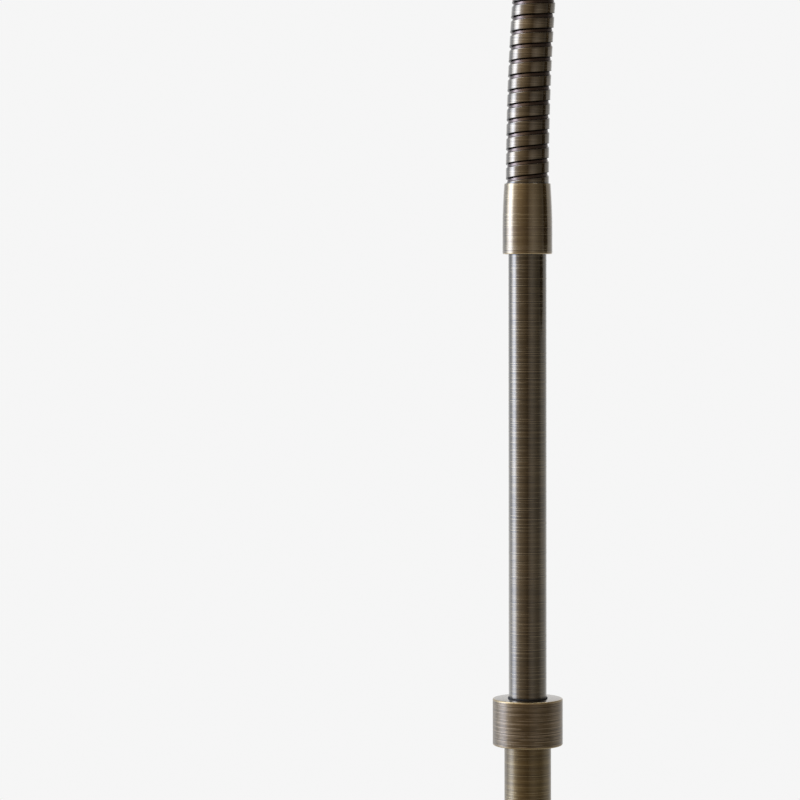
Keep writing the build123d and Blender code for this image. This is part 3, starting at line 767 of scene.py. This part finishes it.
def arc_through(start, middle, end, count):
    """Points on the arc of an outline through three points."""
    a, b, c = Vector(start), Vector(middle), Vector(end)
    turn = 2 * (a.x * (b.y - c.y) + b.x * (c.y - a.y) + c.x * (a.y - b.y))
    aa, bb, cc = (point.length_squared for point in (a, b, c))
    x = (aa * (b.y - c.y) + bb * (c.y - a.y) + cc * (a.y - b.y)) / turn
    y = (aa * (c.x - b.x) + bb * (a.x - c.x) + cc * (b.x - a.x)) / turn
    centre = Vector((x, y))
    angles = [math.degrees(math.atan2(p.y - y, p.x - x)) for p in (a, c)]
    return arc(centre, (a - centre).length, angles[0], angles[1], count)


cup_mouth_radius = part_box("socket_cup")[1].y
cup_length = 63 * mm
cup_nose_radius = 10 * mm
cup_nose_length = 5 * mm
cup_nose_edge = 0.5 * mm
cup_nose_hole = 7.45 * mm
cup_bulge = 2.5 * mm
cup_wall = 1.2 * mm
nose = Vector((cup_nose_radius, cup_nose_length))
mouth = Vector((cup_mouth_radius, cup_length))
swell = Vector((mouth.y - nose.y, nose.x - mouth.x)).normalized() * cup_bulge
cup_outline = [
    (cup_nose_hole, 0),
    (cup_nose_radius - cup_nose_edge, 0),
    (cup_nose_radius, cup_nose_edge),
]
cup_outline += arc_through(nose, (nose + mouth) / 2 + swell, mouth, 24)
socket_cup = turned("socket_cup_spun", cup_outline)
apply_modifier(socket_cup, "SOLIDIFY", thickness=cup_wall, offset=-1, use_even_offset=True)
place_on_head(socket_cup)
cup_bronze = brushed_bronze(
    "bronze_socket_cup",
    (0.078, 0.056, 0.029, 1),
    (0.136, 0.097, 0.050, 1),
    roughness=0.29,
    brush=0.5,
    lacquer=0.22,
    worn=[(cup_nose_radius, 0)],
    turning=head,
    edge_tint=(0.36, 0.33, 0.29, 1),
)
complete(socket_cup, cup_bronze, "head", "bronzed_brass", "socket_cup")


# Bulb: a pear of opal glass blown thin, cemented in its brass cap. The white coat inside
# the glass spreads the light and shows a faint unevenness.
opal_white = (0.86, 0.85, 0.82, 1)
opal_shadow = (0.78, 0.77, 0.74, 1)
opal, place = start_finish("opal_glass")
coating = noise(place, 70, 4)
ripple = noise(place, 35, 2)
end_finish(
    opal,
    {
        "Base Color": mix(ease(coating, 0.35, 0.7), opal_white, opal_shadow),
        "Roughness": 0.16 + coating * 0.10,
        "Normal": bump(ripple, 0.15 * mm, 0.5),
        "Coat Weight": 0.5 + ripple * 0.2,
        "Subsurface Weight": 0.2,
        "Subsurface Radius": (0.004, 0.004, 0.004),
    },
)
bulb_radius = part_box("bulb_glass")[1].y
bulb_neck_radius = 12.55 * mm
glass_start = 83.5 * mm
glass_end = 165.5 * mm
globe_centre = glass_end - bulb_radius
glass_neck = 4 * mm
glass_wall = 1 * mm
bulb_outline = [(bulb_neck_radius, glass_start), (bulb_neck_radius, glass_start + glass_neck)]
swell_steps = 16
for step in range(1, swell_steps):
    share = step / swell_steps
    height = glass_start + glass_neck + (globe_centre - glass_start - glass_neck) * share
    radius = bulb_neck_radius + (bulb_radius - bulb_neck_radius) * (3 - 2 * share) * share**2
    bulb_outline.append((radius, height))
bulb_outline += arc((0, globe_centre), bulb_radius, 0, 90, 20)
bulb_glass = turned("bulb_glass_blown", bulb_outline, steps=96)
apply_modifier(bulb_glass, "SOLIDIFY", thickness=glass_wall, offset=-1)
place_on_head(bulb_glass)
complete(bulb_glass, opal, "head", "opal_glass", "bulb_glass", sharp=60)


# Shade: a bell spun from one sheet of brass and cut off at a slant, longer on the side
# away from the stem. It is bronzed outside and sprayed white inside.
shade_top = cup_length
shade_top_hole = 19.18 * mm
shade_top_radius = cup_mouth_radius + 1.5 * mm
shoulder_radius = 52 * mm
shoulder_end = shade_top + 36 * mm
cone_angle = math.radians(15)
shade_wall = 1 * mm
long_end = shade_top + 227 * mm
short_end = shade_top + 163 * mm
blank_end = long_end + 20 * mm


def cone_radius(along):
    return shoulder_radius + (along - shoulder_end) * math.tan(cone_angle)


top_edge = Vector((shade_top_radius, shade_top))
shoulder_foot = Vector((shoulder_radius, shoulder_end))
inward = Vector((-math.cos(cone_angle), math.sin(cone_angle)))
bell_chord = shoulder_foot - top_edge
bell_radius = -bell_chord.length_squared / (2 * bell_chord.dot(inward))
bell_centre = shoulder_foot + inward * bell_radius
bell_start, bell_end = (
    math.degrees(math.atan2(point.y - bell_centre.y, point.x - bell_centre.x))
    for point in (top_edge, shoulder_foot)
)
shade_outline = [(shade_top_hole, shade_top)]
shade_outline += arc(bell_centre, bell_radius, bell_start, bell_end, 24)
cone_steps = 12
for step in range(1, cone_steps + 1):
    along = shoulder_end + (blank_end - shoulder_end) * step / cone_steps
    shade_outline.append((cone_radius(along), along))
shade = turned("shade_spun", shade_outline, steps=192)
slant = Vector((short_end - long_end, 0, cone_radius(long_end) + cone_radius(short_end)))
pick(shade)
bpy.ops.object.mode_set(mode="EDIT")
bpy.ops.mesh.select_all(action="SELECT")
bpy.ops.mesh.bisect(plane_co=(cone_radius(long_end), 0, long_end), plane_no=slant, clear_outer=True)
bpy.ops.object.mode_set(mode="OBJECT")
shade_bronze = brushed_bronze(
    "bronze_shade",
    (0.078, 0.056, 0.029, 1),
    (0.134, 0.096, 0.050, 1),
    roughness=0.30,
    brush=0.5,
    lacquer=0.22,
    turning=head,
    edge_tint=(0.36, 0.33, 0.29, 1),
)
spray_white = (0.80, 0.79, 0.76, 1)
spray_cream = (0.74, 0.72, 0.67, 1)
white_spray, place = start_finish("white_spray_paint")
orange_peel = noise(place, 600, 3)
drift = noise(place, 25, 3)
end_finish(
    white_spray,
    {
        "Base Color": mix(ease(drift, 0.35, 0.7), spray_white, spray_cream),
        "Roughness": 0.40 + orange_peel * 0.15,
        "Normal": bump(orange_peel, 0.04 * mm, 0.5),
    },
)
shade.data.materials.append(shade_bronze)
shade.data.materials.append(white_spray)
apply_modifier(
    shade, "SOLIDIFY", thickness=shade_wall, offset=-1, use_even_offset=True, material_offset=1
)
apply_modifier(shade, "BEVEL", width=0.2 * mm, segments=2, limit_method="ANGLE", angle_limit=1.0)
place_on_head(shade)
complete(shade, None, "head", "bronzed_shade", "shade")


# Studio: a pale round floor that fades out, a soft box overhead, and a curved screen in
# front, bright on its left and dim in the middle, which shows only in the metal.
backdrop = (0.92, 0.92, 0.92, 1)
floor_radius = 3.0
bpy.ops.object.select_all(action="DESELECT")
bpy.ops.mesh.primitive_circle_add(vertices=128, radius=floor_radius, fill_type="NGON")
floor = bpy.context.object
floor.name = "studio_floor"
floor_paint, place = start_finish("studio_floor_paint")
away = place.node("ShaderNodeVectorMath", {"operation": "LENGTH"}, {0: place}, "Value")
end_finish(
    floor_paint,
    {
        "Base Color": (0.88, 0.88, 0.88, 1),
        "Roughness": 0.8 + noise(place, 8) * 0.1,
        "Alpha": 1 - ease(away, floor_radius * 0.45, floor_radius * 0.98),
        "Specular IOR Level": 0.1,
    },
)
floor.data.materials.append(floor_paint)

world = bpy.data.worlds.new("studio")
bpy.context.scene.world = world
world.use_nodes = True
rays = Flow(world.node_tree)
seen = rays.node("ShaderNodeLightPath", {}, {}, "Is Camera Ray")
for kind in ("Is Glossy Ray", "Is Transmission Ray"):
    seen = seen.math("MAXIMUM", seen, rays.node("ShaderNodeLightPath", {}, {}, kind))
pale = rays.node("ShaderNodeBackground", {}, {"Color": backdrop, "Strength": 1.0})
fill = rays.node("ShaderNodeBackground", {}, {"Color": (1, 1, 1, 1), "Strength": 0.55})
rays.feed(
    world.node_tree.nodes["World Output"],
    {"Surface": rays.node("ShaderNodeMixShader", {}, {0: seen, 1: fill, 2: pale})},
)


box_place = Vector((0.1, 0.8, 2.7))
box_target = Vector((0.1, 0, 0.4))
bpy.ops.object.light_add(type="AREA", location=box_place)
soft_box = bpy.context.object
soft_box.name = "soft_box_above"
soft_box.data.shape = "RECTANGLE"
soft_box.data.size = soft_box.data.size_y = 1.4
soft_box.data.energy = 18
soft_box.rotation_euler = (box_target - box_place).to_track_quat("-Z", "Y").to_euler()
soft_box.visible_camera = False

screen_radius = 2.2
screen_foot = 0.01
screen_height = 6
screen_left = -150
screen_right = 150
bpy.ops.object.select_all(action="DESELECT")
bpy.ops.mesh.primitive_plane_add(size=1)
screen = bpy.context.object
screen.name = "studio_screen"
bpy.ops.object.mode_set(mode="EDIT")
bpy.ops.mesh.merge(type="CENTER")
bpy.ops.transform.translate(value=(0, -screen_radius, screen_foot))
bpy.ops.mesh.extrude_region_move(TRANSFORM_OT_translate={"value": (0, 0, screen_height)})
bpy.ops.mesh.select_all(action="SELECT")
bpy.ops.mesh.spin(
    steps=75, angle=math.radians(screen_left - screen_right), center=(0, 0, 0), axis=(0, 0, 1)
)
bpy.ops.object.mode_set(mode="OBJECT")
screen.rotation_euler.z = math.radians(screen_left)
bpy.ops.object.transform_apply(rotation=True)
screen_cloth, place = start_finish("studio_screen_cloth")
x, y, z = (place.node("ShaderNodeSeparateXYZ", {}, {0: place}, axis) for axis in range(3))
screen_low = 0.58
screen_middle = 1.08
screen_upper = 1.10
screen_high = 1.80

# The cloth's glow at three heights, by the angle round the stem from the front, left first.
low_stops = [
    (-150, (0.125, 0.126, 0.128, 1)),
    (-118, (0.150, 0.160, 0.180, 1)),
    (-104, (0.35, 0.40, 0.52, 1)),
    (-92, (0.52, 0.60, 0.80, 1)),
    (-82, (0.46, 0.52, 0.68, 1)),
    (-71, (0.19, 0.188, 0.20, 1)),
    (-50, (0.092, 0.079, 0.064, 1)),
    (-22, (0.054, 0.043, 0.031, 1)),
    (-1, (0.028, 0.021, 0.0135, 1)),
    (7, (0.050, 0.044, 0.038, 1)),
    (24, (0.068, 0.063, 0.058, 1)),
    (52, (0.040, 0.036, 0.030, 1)),
    (66, (0.036, 0.032, 0.027, 1)),
    (77, (0.050, 0.048, 0.045, 1)),
    (92, (0.080, 0.080, 0.079, 1)),
    (150, (0.088, 0.088, 0.087, 1)),
]
middle_stops = [
    (-150, (0.070, 0.072, 0.076, 1)),
    (-118, (0.105, 0.116, 0.136, 1)),
    (-104, (0.47, 0.52, 0.64, 1)),
    (-92, (0.77, 0.90, 1.22, 1)),
    (-82, (0.65, 0.75, 1.01, 1)),
    (-71, (0.18, 0.18, 0.20, 1)),
    (-50, (0.076, 0.065, 0.052, 1)),
    (-22, (0.042, 0.033, 0.022, 1)),
    (-1, (0.022, 0.016, 0.010, 1)),
    (7, (0.051, 0.045, 0.039, 1)),
    (24, (0.070, 0.065, 0.060, 1)),
    (52, (0.034, 0.030, 0.024, 1)),
    (66, (0.021, 0.018, 0.014, 1)),
    (77, (0.026, 0.024, 0.021, 1)),
    (90, (0.066, 0.066, 0.066, 1)),
    (150, (0.070, 0.070, 0.070, 1)),
]
high_stops = [
    (-150, (0.070, 0.072, 0.076, 1)),
    (-118, (0.105, 0.116, 0.136, 1)),
    (-104, (0.45, 0.52, 0.66, 1)),
    (-92, (0.76, 0.88, 1.12, 1)),
    (-82, (0.64, 0.73, 0.94, 1)),
    (-71, (0.20, 0.20, 0.22, 1)),
    (-50, (0.125, 0.105, 0.080, 1)),
    (-22, (0.060, 0.048, 0.032, 1)),
    (0, (0.020, 0.015, 0.010, 1)),
    (90, (0.010, 0.009, 0.008, 1)),
    (150, (0.030, 0.030, 0.030, 1)),
]
turn = x.math("ARCTAN2", x, -1 * y) * (0.5 / math.pi) + 0.5
rows = []
for stops in (low_stops, middle_stops, high_stops):
    stops = [(0.5 + angle / 360, colour) for angle, colour in stops]
    rows.append(turn.node("ShaderNodeValToRGB", {"stops": stops}, {"Fac": turn}))
glow = mix(ease(z, screen_low, screen_middle), rows[0], rows[1])
glow = mix(ease(z, screen_upper, screen_high), glow, rows[2])
end_finish(
    screen_cloth,
    {
        "Base Color": (0, 0, 0, 1),
        "Emission Color": glow,
        "Emission Strength": 10.0,
        "Roughness": 1.0,
    },
)
screen.data.materials.append(screen_cloth)
screen.visible_camera = screen.visible_diffuse = screen.visible_shadow = False
screen.visible_transmission = False


# Camera: a long lens level with the ferrule, a little to the left of the stem, which looks
# slightly down and stands a trace askew.
look_down = 2.717
askew = 0.14
camera_data = bpy.data.cameras.new("camera")
camera_data.sensor_width = 36
camera_data.lens = 145.2
camera = bpy.data.objects.new("camera", camera_data)
camera.location = (-0.0434, -1.1, 1.0426)
camera.rotation_euler = (math.radians(90 - look_down), math.radians(askew), 0)
bpy.context.collection.objects.link(camera)
bpy.context.scene.camera = camera
bpy.context.scene.view_settings.view_transform = "Standard"
